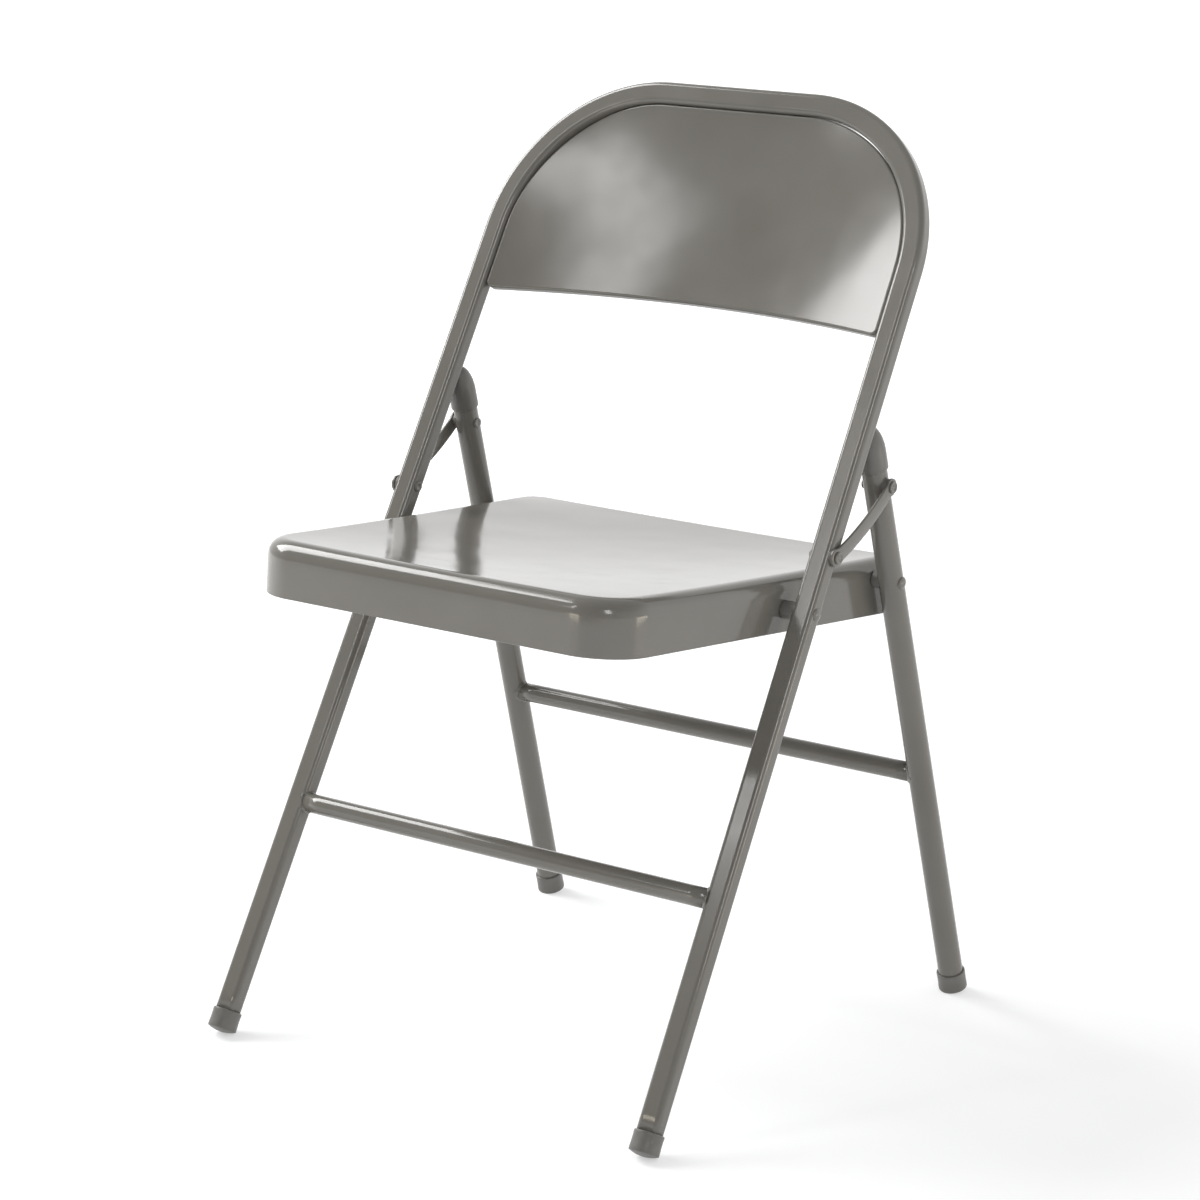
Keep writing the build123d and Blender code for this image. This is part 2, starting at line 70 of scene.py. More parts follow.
SEAT_TILT = math.radians(5.7)
SEAT_BASE_Z = 0.397
SEAT_FRONT, SEAT_BACK = 0.0108, 0.4105
SEAT_HALF_FRONT, SEAT_HALF_BACK = 0.1888, 0.203
SEAT_HEIGHT, SEAT_DISH = 0.047, 0.009
SEAT_FRONT_R, SEAT_BACK_R, SEAT_EDGE_R = 0.046, 0.028, 0.015
SHEET = 0.0012
BRACKET_T, BRACKET_GAP = 0.002, 0.002

PANEL_BOTTOM, PANEL_ARCH, PANEL_HOLLOW = 0.6955, 0.016, 0.024
PANEL_GAP, PANEL_FACE, PANEL_LOW_R = 0.0008, 0.0046, 0.007

LINK_W, LINK_END_R, LINK_T, LINK_BOW, LINK_INNER_X = 0.012, 0.0078, 0.0025, 0.004, 0.2287
SLIDE_GAP = 0.00035

SIDES = {"left": -1, "right": 1}
SAME_POINT = 2e-6

# ---------------------------------------------------------------- planes, from the frame's joints
JOINT_AT = {joint["name"]: Vector(joint["pos_m"]) for joint in frame["joints"]}
PIVOT_A = JOINT_AT["seat_fold"]            # seat on front frame
PIVOT_B = JOINT_AT["rear_legs_fold"]       # seat on rear legs
PIVOT_D = JOINT_AT["left_link_fold"]       # link on front frame
Y_FRONT = PIVOT_A.y - PIVOT_A.z * math.tan(FRONT_LEAN)
Y_REAR = PIVOT_B.y + PIVOT_B.z * math.tan(REAR_LEAN)
SEAT_PIVOT_AT = PIVOT_A.z / math.cos(FRONT_LEAN)
LINK_PIVOT_AT = PIVOT_D.z / math.cos(FRONT_LEAN)
LEG_PIVOT_AT = PIVOT_B.z / math.cos(REAR_LEAN)


def leaning(y, lean):
    """Local Y runs up a member that leans back by `lean`, local Z points forward."""
    c, s = math.cos(lean), math.sin(lean)
    return Matrix(((1, 0, 0, 0), (0, s, -c, y), (0, c, s, 0), (0, 0, 0, 1)))


FRAME = leaning(Y_FRONT, FRONT_LEAN)
LEGS = leaning(Y_REAR, -REAR_LEAN)
SEAT = Matrix((
    (1, 0, 0, 0),
    (0, math.cos(SEAT_TILT), math.sin(SEAT_TILT), Y_FRONT),
    (0, -math.sin(SEAT_TILT), math.cos(SEAT_TILT), SEAT_BASE_Z),
    (0, 0, 0, 1),
))
PIVOT_C = LEGS @ Vector((0, LEG_LINK_AT, 0))
SEAT_A = SEAT.inverted() @ PIVOT_A
SEAT_B = SEAT.inverted() @ PIVOT_B


def frame_half(s):
    return FRONT_FOOT_HALF - FRONT_NARROWING * s


def legs_half(t):
    return REAR_FOOT_HALF - REAR_NARROWING * t


# ---------------------------------------------------------------- mesh helpers
def add_piece(name, verts, faces, body, replaced=(), slot=None):
    """A smooth-shaded mesh that rides on a body and stands for CAD nodes."""
    mesh = bpy.data.meshes.new(name)
    mesh.from_pydata([tuple(v) for v in verts], [], faces)
    mesh.validate()
    solid = bmesh.new()
    solid.from_mesh(mesh)
    bmesh.ops.remove_doubles(solid, verts=solid.verts, dist=SAME_POINT)
    bmesh.ops.dissolve_degenerate(solid, dist=SAME_POINT, edges=solid.edges)
    bmesh.ops.recalc_face_normals(solid, faces=solid.faces)
    solid.to_mesh(mesh)
    solid.free()
    mesh.polygons.foreach_set("use_smooth", [True] * len(mesh.polygons))
    piece = bpy.data.objects.new(name, mesh)
    bpy.context.scene.collection.objects.link(piece)
    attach(piece, body)
    if replaced:
        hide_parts(*replaced)
    return piece


def merged(*parts):
    """Several (verts, faces) lists as one."""
    verts, faces = [], []
    for part_verts, part_faces in parts:
        start = len(verts)
        verts += part_verts
        faces += [[i + start for i in face] for face in part_faces]
    return verts, faces


def placed(part, matrix):
    verts, faces = part
    return [matrix @ Vector(v) for v in verts], faces


def mirrored(part):
    verts, faces = part
    return [Vector((-v[0], v[1], v[2])) for v in verts], faces


def ring_faces(rings, size, closed=False):
    """Quads between rings of `size` points that follow one another in the vertex list."""
    faces = []
    for i in range(rings if closed else rings - 1):
        a, b = i * size, (i + 1) % rings * size
        for j in range(size):
            k = (j + 1) % size
            faces.append([a + j, a + k, b + k, b + j])
    return faces


def swept(path, section):
    """Capped tube along a flat path of (point, direction) pairs; section points are (across, forward)."""
    verts = []
    for point, along in path:
        across = Vector((along.y, -along.x, 0))
        verts += [point + across * u + Vector((0, 0, v)) for u, v in section]
    size = len(section)
    faces = ring_faces(len(path), size)
    faces.append(list(range(size))[::-1])
    faces.append(list(range(len(verts) - size, len(verts))))
    return verts, faces


def straight(start, end, steps):
    along = (end - start).normalized()
    return [(start.lerp(end, i / steps), along) for i in range(steps + 1)]


def circle(radius, count):
    turn = 2 * math.pi / count
    return [(radius * math.cos(i * turn), radius * math.sin(i * turn)) for i in range(count)]


def rounded_box(width, depth, radius, steps, margin):
    """Rounded rectangle with extra points just inside its flats, which keep them flat in shading."""
    points = []
    for corner in range(4):
        cx = (width / 2 - radius) * (1 if corner in (0, 3) else -1)
        cy = (depth / 2 - radius) * (1 if corner < 2 else -1)
        first = corner * math.pi / 2
        arc = []
        for i in range(steps + 1):
            a = first + math.pi / 2 * i / steps
            arc.append((cx + radius * math.cos(a), cy + radius * math.sin(a)))
        lead = Vector((math.sin(first), -math.cos(first))) * margin
        tail = Vector((math.cos(first), math.sin(first)))
        tail = Vector((-tail.x, -tail.y)) * margin
        arc.insert(0, (arc[0][0] + lead.x, arc[0][1] + lead.y))
        arc.append((arc[-1][0] + tail.x, arc[-1][1] + tail.y))
        points += arc
    return points


def lathed(profile, count):
    """Solid of revolution about local Z; the profile's (radius, height) ends lie on the axis."""
    turn = 2 * math.pi / count
    verts = [Vector((0, 0, profile[0][1]))]
    for radius, height in profile[1:-1]:
        for i in range(count):
            verts.append(Vector((radius * math.cos(i * turn), radius * math.sin(i * turn), height)))
    verts.append(Vector((0, 0, profile[-1][1])))
    rings = len(profile) - 2
    faces = [[1 + a for a in face] for face in ring_faces(rings, count)]
    last = len(verts) - 1
    for i in range(count):
        k = (i + 1) % count
        faces.append([0, 1 + k, 1 + i])
        faces.append([last, last - count + i, last - count + k])
    return verts, faces


def arc(cx, cy, radius, first, last, steps):
    """Points of an arc in degrees, both ends included."""
    points = []
    for i in range(steps + 1):
        a = math.radians(first + (last - first) * i / steps)
        points.append((cx + radius * math.cos(a), cy + radius * math.sin(a)))
    return points


def along_x(x, side, at):
    """Matrix that turns local Z outward along X on one side and places it on a pivot."""
    return Matrix.Translation((x, at.y, at.z)) @ Matrix.Rotation(side * math.pi / 2, 4, "Y")


def axis_matrix(low, high):
    """Matrix with its origin at low and local Z towards high."""
    return Matrix.Translation(low) @ (high - low).to_track_quat("Z", "Y").to_matrix().to_4x4()


# ---------------------------------------------------------------- front frame
def frame_path(s0, arc_steps=40, run_steps=24):
    """Centre line of the front tube: up one side, round two bends and down again."""
    corners = [
        Vector((-frame_half(s0), s0, 0)),
        Vector((-frame_half(FRAME_LENGTH), FRAME_LENGTH, 0)),
        Vector((frame_half(FRAME_LENGTH), FRAME_LENGTH, 0)),
        Vector((frame_half(s0), s0, 0)),
    ]
    path, start = [], corners[0]
    for before, corner, after in zip(corners, corners[1:], corners[2:]):
        come, go = (corner - before).normalized(), (after - corner).normalized()
        turn = come.angle(go)
        reach = FRAME_CORNER_R * math.tan(turn / 2)
        path += straight(start, corner - come * reach, run_steps)[:-1]
        centre = corner - come * reach + Vector((come.y, -come.x, 0)) * FRAME_CORNER_R
        for i in range(arc_steps + 1):
            spin = Matrix.Rotation(-turn * i / arc_steps, 3, "Z")
            path.append((centre + spin @ (corner - come * reach - centre), spin @ come))
        start = path.pop()[0]
    return path + straight(start, corners[3], run_steps)


def front_tube():
    section = rounded_box(TUBE_W, TUBE_D, TUBE_CORNER_R, 7, 0.0004)
    part = placed(swept(frame_path(FRAME_START), section), FRAME)
    return add_piece("front_frame_tube_skin", *part, "front_frame", ["front_frame_tube"], "tube_paint")


def tube_inset(offset, flat):
    """How far a tube's side draws back at `offset` from its middle line."""
    if flat:
        beyond = max(0.0, min(abs(offset), TUBE_D / 2 - 0.0003) - (TUBE_D / 2 - TUBE_CORNER_R))
        return TUBE_CORNER_R - math.sqrt(TUBE_CORNER_R**2 - beyond**2)
    return LEG_R - math.sqrt(LEG_R**2 - min(abs(offset), LEG_R * 0.9)**2)


def rail_tube(name, node, body, plane, at, half):
    run = straight(Vector((-half, at, 0)), Vector((half, at, 0)), 24)
    part = placed(swept(run, circle(RAIL_R, 40)), plane)
    return add_piece(name, *part, body, [node], "tube_paint")


def weld_ring(side, at, face, flat, seed):
    """Rippled weld bead between a rail and a tube, in the plane's own coordinates."""
    around, across = 84, 9
    verts = []
    for i in range(around):
        a = 2 * math.pi * i / around
        wave = math.sin(11 * a + seed) * 0.10 + math.sin(5 * a + 2.3 * seed) * 0.08
        size = WELD_R * (0.80 + wave)
        for j in range(across):
            b = math.pi / 2 * j / (across - 1)
            swell = 1.0 - 0.16 * math.sin(2 * b)
            radius = RAIL_R - 0.0002 + size * math.sin(b) * swell
            out = radius * math.sin(a)
            step = size * math.cos(b) * swell - tube_inset(out, flat)
            verts.append(Vector((side * (face - step), at + radius * math.cos(a), out)))
        for radius in (RAIL_R + WELD_R * 0.6, RAIL_R - 0.0008):
            out = radius * math.sin(a)
            inside = face + tube_inset(out, flat) + 0.0006
            verts.append(Vector((side * inside, at + radius * math.cos(a), out)))
    size = across + 2
    return verts, ring_faces(around, size, closed=True)


def rail_welds(name, node, body, plane, at, face, flat):
    rings = [weld_ring(side, at, face, flat, 1.7 + side) for side in SIDES.values()]
    return add_piece(name, *placed(merged(*rings), plane), body, [node], "tube_paint")


# ---------------------------------------------------------------- rear legs
def rear_leg(name, side):
    low = Vector((side * legs_half(LEG_START), LEG_START, 0))
    high = Vector((side * legs_half(LEG_TOP), LEG_TOP, 0))
    part = placed(swept(straight(low, high, 40), circle(LEG_R, 56)), LEGS)
    return add_piece(f"{name}_rear_leg_skin", *part, "rear_legs", [f"{name}_rear_leg"], "tube_paint")


# ---------------------------------------------------------------- feet and caps
def foot(name, node, body, low, high, rise):
    """Moulded foot: domed sole with a worn flat, straight side and a soft lip at the top."""
    top = rise + FOOT_SIDE
    dome_r = (FOOT_R**2 + SOLE_DOME**2) / (2 * SOLE_DOME)
    profile = [(0, rise - SOLE_DOME)]
    for i in range(1, 9):
        radius = (FOOT_R - 0.0009) * i / 8
        profile.append((radius, rise - SOLE_DOME + dome_r - math.sqrt(dome_r**2 - radius**2)))
    profile += arc(FOOT_R - 0.0009, profile[-1][1] + 0.0009, 0.0009, -60, 0, 4)
    side_r = FOOT_R - 0.00015
    profile += [(FOOT_R, rise + 0.004), (side_r, rise + 0.006), (side_r, top - 0.0032)]
    profile += [(FOOT_R, top - 0.0026)]
    profile += arc(FOOT_R - 0.0009, top - 0.0009, 0.0009, 0, 90, 5)
    profile += [(FOOT_R - 0.002, top - 0.0001), (FOOT_R - 0.0035, top - 0.0008), (0, top - 0.0008)]
    verts, faces = placed(lathed(profile, 56), axis_matrix(low, high))
    for v in verts:
        v.z = max(v.z, 0.0)
    return add_piece(name, verts, faces, body, [node], "foot_plastic")


def foot_rise(lean):
    dome_r = (FOOT_R**2 + SOLE_DOME**2) / (2 * SOLE_DOME)
    if lean > math.asin(FOOT_R / dome_r):
        return FOOT_R * math.tan(lean) - SOLE_FLAT / math.cos(lean)
    return (dome_r - SOLE_FLAT) / math.cos(lean) - dome_r + SOLE_DOME


def leg_cap(name, side):
    """Rounded cap on a rear leg, cut flat behind the front tube."""
    low = LEGS @ Vector((side * legs_half(CAP_SEAM), CAP_SEAM, 0))
    high = LEGS @ Vector((side * legs_half(CAP_END), CAP_END, 0))
    shoulder, end = CAP_SHOULDER - CAP_SEAM, CAP_END - CAP_SEAM
    profile = [(0, 0), (CAP_R - 0.0012, 0)]
    profile += arc(CAP_R - 0.0006, 0.0006, 0.0006, -90, 0, 4)
    profile += [(CAP_R, shoulder * 0.5), (CAP_R, shoulder)]
    bulge = 2.15
    for i in range(1, 22):
        a = math.pi / 2 * i / 22
        height = (end - shoulder) * math.sin(a) ** (2 / bulge)
        profile.append((CAP_R * math.cos(a) ** (2 / bulge), shoulder + height))
    profile.append((0, end))
    verts, faces = placed(lathed(profile, 64), axis_matrix(low, high))
    solid = bmesh.new()
    points = [solid.verts.new(v) for v in verts]
    for face in faces:
        solid.faces.new([points[i] for i in face])
    forward = FRAME.to_3x3() @ Vector((0, 0, 1))
    behind = FRAME @ Vector((0, 0, -(TUBE_D / 2 + SLIDE_GAP + 0.0001)))
    whole = list(solid.verts) + list(solid.edges) + list(solid.faces)
    bmesh.ops.bisect_plane(solid, geom=whole, plane_co=behind, plane_no=forward, clear_outer=True)
    rim = [edge for edge in solid.edges if edge.is_boundary]
    bmesh.ops.contextual_create(solid, geom=rim)
    bmesh.ops.recalc_face_normals(solid, faces=solid.faces)
    bmesh.ops.bevel(solid, geom=rim, offset=0.0006, segments=3, affect="EDGES", profile=0.5)
    mesh_verts = [v.co.copy() for v in solid.verts]
    solid.verts.index_update()
    mesh_faces = [[v.index for v in face.verts] for face in solid.faces]
    solid.free()
    node = f"{name}_leg_cap"
    return add_piece(f"{node}_skin", mesh_verts, mesh_faces, "rear_legs", [node], "foot_plastic")


# ---------------------------------------------------------------- seat
def rounded_outline(corners, radii, corner_steps, side_steps):
    """Points round a polygon with rounded corners, each with its outward normal."""
    count = len(corners)
    places = []
    for i, corner in enumerate(corners):
        come = (corner - corners[i - 1]).normalized()
        go = (corners[(i + 1) % count] - corner).normalized()
        turn = come.angle(go)
        reach = radii[i] * math.tan(turn / 2)
        inward = Vector((-come.y, come.x))
        centre = corner - come * reach + inward * radii[i]
        bend = []
        for k in range(corner_steps + 1):
            spin = Matrix.Rotation(turn * k / corner_steps, 2)
            normal = spin @ -inward
            bend.append((centre + normal * radii[i], normal))
        places.append(bend)
    outline = []
    for i, bend in enumerate(places):
        outline += bend
        start, end = bend[-1], places[(i + 1) % count][0]
        for k in range(1, side_steps):
            outline.append((start[0].lerp(end[0], k / side_steps), start[1]))
    return outline


def seat_half(y):
    share = (y - SEAT_FRONT) / (SEAT_BACK - SEAT_FRONT)
    return SEAT_HALF_FRONT + (SEAT_HALF_BACK - SEAT_HALF_FRONT) * share


def seat_top(x, y):
    """Height of the pan's hollowed upper face above the skirt's lower edge."""
    middle = (SEAT_FRONT + SEAT_BACK) / 2
    along = (y - middle) / (SEAT_BACK - middle)
    across = x / SEAT_HALF_BACK
    return SEAT_HEIGHT - SEAT_DISH * max(0.0, 1 - across**2) * max(0.0, 1 - along**2)


def seat_pan():
    """Pressed pan: dished top, rolled upper edge, skirt with a hem turned in at its foot."""
    outline = rounded_outline(
        [Vector((-SEAT_HALF_FRONT, SEAT_FRONT)), Vector((SEAT_HALF_FRONT, SEAT_FRONT)),
         Vector((SEAT_HALF_BACK, SEAT_BACK)), Vector((-SEAT_HALF_BACK, SEAT_BACK))],
        [SEAT_FRONT_R, SEAT_FRONT_R, SEAT_BACK_R, SEAT_BACK_R], 30, 30)
    size = len(outline)
    middle = Vector((0, (SEAT_FRONT + SEAT_BACK) / 2))
    verts = []

    def ring(inset, height, over_top=0.0):
        """One loop of the pan: over_top is its share of the hollowed face's own height."""
        for point, normal in outline:
            p = point - normal * inset
            z = height + (seat_top(p.x, p.y) - SEAT_HEIGHT) * over_top
            verts.append(Vector((p.x, p.y, z)))

    def filled(inset, drop, shares):
        """Loops between the middle and the outline drawn in by inset, below the hollowed face."""
        for share in shares:
            for point, normal in outline:
                p = middle + (point - normal * inset - middle) * share
                verts.append(Vector((p.x, p.y, seat_top(p.x, p.y) - drop)))

    hem_r = 0.0012
    roll_z = SEAT_HEIGHT - SEAT_EDGE_R
    # inside of the pan, from the middle out to the roll
    filled(SEAT_EDGE_R + 0.001, SHEET, (0.02, 0.12, 0.3, 0.5, 0.7, 0.86, 0.95, 1.0))
    roll = SEAT_EDGE_R - SHEET
    for i in range(1, 8):
        a = math.pi / 2 * i / 8
        ring(SEAT_EDGE_R - roll * math.sin(a), roll_z + roll * math.cos(a), math.cos(a))
    # hem: the sheet turned inward and up at the skirt's foot
    hem = [(SHEET, roll_z - 0.002), (SHEET, 0.012), (SHEET, 0.0052)]
    hem += [(SHEET + 0.0003, 0.0043), (SHEET + 0.0010, 0.0040), (2 * hem_r, 0.0034), (2 * hem_r, 0.0020)]
    for degrees in (165, 150, 125, 100, 75, 50, 25):
        a = math.radians(degrees)
        hem.append((hem_r - hem_r * math.cos(a), hem_r - hem_r * math.sin(a)))
    hem += [(0.0, height) for height in (hem_r, 0.0018, 0.006, 0.014, 0.024, 0.032)]
    for inset, height in hem:
        ring(inset, height)
    # roll and top
    for i in range(15):
        a = math.pi / 2 * i / 14
        ring(SEAT_EDGE_R - SEAT_EDGE_R * math.cos(a), roll_z + SEAT_EDGE_R * math.sin(a), math.sin(a))
    filled(SEAT_EDGE_R, 0.0, (0.994, 0.985, 0.97, 0.95, 0.92, 0.88, 0.83, 0.77, 0.7))
    filled(SEAT_EDGE_R, 0.0, (0.62, 0.54, 0.46, 0.38, 0.3, 0.22, 0.14, 0.07, 0.02))
    faces = ring_faces(len(verts) // size, size)
    faces.append(list(range(size))[::-1])
    faces.append(list(range(len(verts) - size, len(verts))))
    part = placed((verts, faces), SEAT)
    return add_piece("seat_pan_skin", *part, "seat", ["seat_pan"], "sheet_paint")


# ---------------------------------------------------------------- back panel
def panel_outline():
    """Edge of the panel: it follows the frame and has an arched lower edge."""
    edge = TUBE_W / 2 + PANEL_GAP
    top = FRAME_LENGTH - edge
    corners = [
        Vector((-frame_half(PANEL_BOTTOM) + edge, PANEL_BOTTOM)),
        Vector((frame_half(PANEL_BOTTOM) - edge, PANEL_BOTTOM)),
        Vector((frame_half(top) - edge, top)),
        Vector((-frame_half(top) + edge, top)),
    ]
    upper_r = FRAME_CORNER_R - edge
    outline = rounded_outline(corners, [PANEL_LOW_R, PANEL_LOW_R, upper_r, upper_r], 40, 40)
    half = corners[1].x
    arched = []
    for point, normal in outline:
        below = max(0.0, 1 - (point.y - PANEL_BOTTOM) / 0.03)
        lift = PANEL_ARCH * (1 - (point.x / half) ** 2) * below
        slope = -2 * PANEL_ARCH * point.x / half**2 if normal.y < -0.5 else 0.0
        bent = Vector((normal.x + slope * abs(normal.y), normal.y)).normalized()
        arched.append((Vector((point.x, point.y + lift)), bent))
    return arched


def panel_depth(x, s):
    """Panel's front face, forward of the frame's middle plane."""
    edge = TUBE_W / 2 + PANEL_GAP
    top = FRAME_LENGTH - edge
    down = min(1.1, max(0.0, (top - s) / (top - PANEL_BOTTOM)))
    across = min(1.0, abs(x) / (frame_half(s) - edge))
    return PANEL_FACE - PANEL_HOLLOW * (1 - across**2) * (1 - (1 - down) ** 2)


def back_panel():
    """Hollowed sheet: rounded edge beside the frame, rolled lower edge and a flange turned back."""
    outline = panel_outline()
    size = len(outline)
    middle = Vector((0, (PANEL_BOTTOM + FRAME_LENGTH) / 2))
    verts = []
    edge_r = 0.0022

    def ring(inset, drop):
        for point, normal in outline:
            p = point - normal * inset
            verts.append(Vector((p.x, p.y, panel_depth(p.x, p.y) - drop)))

    def filled(inset, drop, shares):
        for share in shares:
            for point, normal in outline:
                p = middle + (point - normal * inset - middle) * share
                verts.append(Vector((p.x, p.y, panel_depth(p.x, p.y) - drop)))

    # back of the sheet, then the flange beside the frame and its end
    filled(edge_r + 0.002, SHEET, (0.02, 0.12, 0.25, 0.4, 0.55, 0.7, 0.82, 0.91, 0.97, 1.0))
    back = [(edge_r + 0.0006, SHEET + 0.0002), (edge_r - 0.0004, SHEET + 0.0010)]
    back += [(SHEET + 0.0002, 0.0028), (SHEET, 0.0045), (SHEET, 0.0068)]
    back += [(SHEET * 0.8, 0.0074), (SHEET * 0.3, 0.0076), (0.0, 0.0071), (0.0, 0.0055), (0.0, 0.004)]
    back += [(edge_r - edge_r * math.cos(math.radians(a)), edge_r - edge_r * math.sin(math.radians(a)))
             for a in (0, 12, 24, 36, 48, 60, 72, 84, 90)]
    for inset, drop in back:
        ring(inset, drop)
    # front face, from the edge to the middle
    filled(edge_r, 0.0, [0.998, 0.99] + [1.0 - 0.98 * i / 34 for i in range(1, 35)])
    faces = ring_faces(len(verts) // size, size)
    faces.append(list(range(size))[::-1])
    faces.append(list(range(len(verts) - size, len(verts))))
    part = placed((verts, faces), FRAME)
    return add_piece("back_panel_skin", *part, "front_frame", ["back_panel"], "sheet_paint")


# ---------------------------------------------------------------- links, rivets, spacers
def link_plate():
    """Right-hand link: bowed bar with rounded ends and softened edges."""
    run = PIVOT_C - PIVOT_D
    length = run.length
    along = run.normalized()
    side_way = Vector((1, 0, 0)).cross(along)
    plane = Matrix((
        (0, 0, 1, LINK_INNER_X),
        (along.y, side_way.y, 0, PIVOT_D.y),
        (along.z, side_way.z, 0, PIVOT_D.z),
        (0, 0, 0, 1),
    ))
    ends = (LINK_END_R, LINK_END_R - 0.0006)
    bow_r = (length**2 / 4 + LINK_BOW**2) / (2 * LINK_BOW)

    def centre(u):
        return -(math.sqrt(max(0.0, bow_r**2 - (u - length / 2) ** 2)) - (bow_r - LINK_BOW))

    def half_width(u):
        widths = [LINK_W / 2 if 0 <= u <= length else 0.0]
        for place, radius in ((0, ends[0]), (length, ends[1])):
            widths.append(math.sqrt(max(0.0, radius**2 - (u - place) ** 2)))
        return max(widths)

    stations = []
    for i in range(19):
        stations.append(-ends[0] * math.cos(math.pi / 2 * i / 18))
    stations += [length * (i + 0.5) / 34 for i in range(34)]
    for i in range(19):
        stations.append(length + ends[1] * math.sin(math.pi / 2 * i / 18))

    def outline(inset):
        upper, lower = [], []
        for u in stations:
            x = min(max(u, inset - ends[0]), length + ends[1] - inset)
            half = max(0.0, half_width(u) - inset)
            mid = centre(min(max(x, 0.0), length))
            upper.append((x, mid + half))
            lower.append((x, mid - half))
        return lower + upper[::-1]

    verts, size = [], 0
    layers = [(0.0005, 0.0), (0.00015, 0.00015), (0.0, 0.0005), (0.0, LINK_T - 0.0006)]
    layers += [(0.00018, LINK_T - 0.00018), (0.0006, LINK_T)]
    for inset, height in layers:
        loop = outline(inset)
        size = len(loop)
        verts += [Vector((x, y, height)) for x, y in loop]
    faces = ring_faces(len(layers), size)
    half = size // 2
    for base in (0, len(verts) - size):
        for i in range(half - 1):
            quad = [base + i, base + i + 1, base + size - 2 - i, base + size - 1 - i]
            faces.append(quad if base else quad[::-1])
    return placed((verts, faces), plane)


def rivet_head(kind, depth=0.0):
    """Profile of a rivet's outer end from its rim up to the axis: domed or rolled open."""
    if kind == "domed":
        rise = HEAD_H - 0.0006
        dome_r = (HEAD_R**2 + rise**2) / (2 * rise)
        points = [(HEAD_R - 0.0003, -depth), (HEAD_R, 0.0002 - depth), (HEAD_R, 0.0005)]
        for i in range(1, 12):
            radius = HEAD_R * (1 - i / 12) ** 0.8
            points.append((radius, HEAD_H - dome_r + math.sqrt(dome_r**2 - radius**2)))
        return points + [(0, HEAD_H)]
    points = [(HEAD_R - 0.0003, -depth), (HEAD_R, 0.0002 - depth), (HEAD_R, 0.0007)]
    points += arc(HEAD_R - 0.0011, 0.0010, 0.0011, 10, 90, 5)
    points += [(HEAD_R - 0.0019, 0.0019), (HEAD_R - 0.0024, 0.0014)]
    points += [(0.0022, 0.0013), (0.0016, 0.0016), (0.0008, 0.0019)]
    return points + [(0, 0.0020)]


def rivet_tail(dimple):
    """Profile of a rivet's formed inner end, from its dimpled middle out to the rim."""
    points = [(0, -TAIL_T + dimple), (0.0018, -TAIL_T + 0.0004), (0.0024, -TAIL_T)]
    points += [(TAIL_R - 0.0008, -TAIL_T), (TAIL_R - 0.0002, -TAIL_T + 0.0003)]
    return points + [(TAIL_R, -TAIL_T + 0.0008)]


def rivet(at, side, x_head, x_tail, kind, head_depth=0.0):
    """Rivet on a pivot: formed tail inside, shank and head outside."""
    length = abs(x_head - x_tail)
    tail = rivet_tail(0.0004) + [(TAIL_R, -0.0001), (RIVET_R, 0.0)]
    head = [(radius, height + length) for radius, height in rivet_head(kind, head_depth)]
    profile = tail + [(RIVET_R, length - head_depth - 0.0001)] + head
    return placed(lathed(profile, 36), along_x(x_tail, side, at))


def spacer(at, side, x0, x1, radius):
    """Turned sleeve with softened rims."""
    low, high = sorted((abs(x0), abs(x1)))
    length = high - low
    profile = [(0, 0), (radius - 0.0006, 0)] + arc(radius - 0.0006, 0.0006, 0.0006, -70, 0, 4)
    profile += arc(radius - 0.0006, length - 0.0006, 0.0006, 0, 90, 4) + [(0, length)]
    return placed(lathed(profile, 48), along_x(side * low, side, at))


# ---------------------------------------------------------------- materials
def principled(name):
    """New material with its node tree and shader node."""
    material = bpy.data.materials.new(name)
    material.use_nodes = True
    tree = material.node_tree
    shader = next(node for node in tree.nodes if node.type == "BSDF_PRINCIPLED")
    shader.inputs["IOR"].default_value = 1.5
    return material, tree, shader


def noise_node(tree, scale, detail=2.0, roughness=0.5, stretch=(1, 1, 1)):
    """Noise in the piece's own coordinates; scale is in features per metre."""
    place = tree.nodes.new("ShaderNodeTexCoord")
    mapping = tree.nodes.new("ShaderNodeMapping")
    mapping.inputs["Scale"].default_value = stretch
    tree.links.new(place.outputs["Object"], mapping.inputs["Vector"])
    texture = tree.nodes.new("ShaderNodeTexNoise")
    texture.inputs["Scale"].default_value = scale
    texture.inputs["Detail"].default_value = detail
    texture.inputs["Roughness"].default_value = roughness
    tree.links.new(mapping.outputs["Vector"], texture.inputs["Vector"])
    return texture.outputs["Fac"]


def ranged(tree, value, low, high, from_low=0.3, from_high=0.7):
    node = tree.nodes.new("ShaderNodeMapRange")
    node.inputs["From Min"].default_value = from_low
    node.inputs["From Max"].default_value = from_high
    node.inputs["To Min"].default_value = low
    node.inputs["To Max"].default_value = high
    tree.links.new(value, node.inputs["Value"])
    return node.outputs["Result"]


def mixed(tree, factor, first, second):
    """Colour mix; first and second are colours or sockets."""
    node = tree.nodes.new("ShaderNodeMix")
    node.data_type = "RGBA"
    tree.links.new(factor, node.inputs["Factor"])
    for socket, value in ((node.inputs[6], first), (node.inputs[7], second)):
        if isinstance(value, tuple):
            socket.default_value = (*value, 1)
        else:
            tree.links.new(value, socket)
    return node.outputs[2]


def bumped(tree, height, distance, normal=None):
    node = tree.nodes.new("ShaderNodeBump")
    node.inputs["Strength"].default_value = 1.0
    node.inputs["Distance"].default_value = distance
    tree.links.new(height, node.inputs["Height"])
    if normal is not None:
        tree.links.new(normal, node.inputs["Normal"])
    return node.outputs["Normal"]


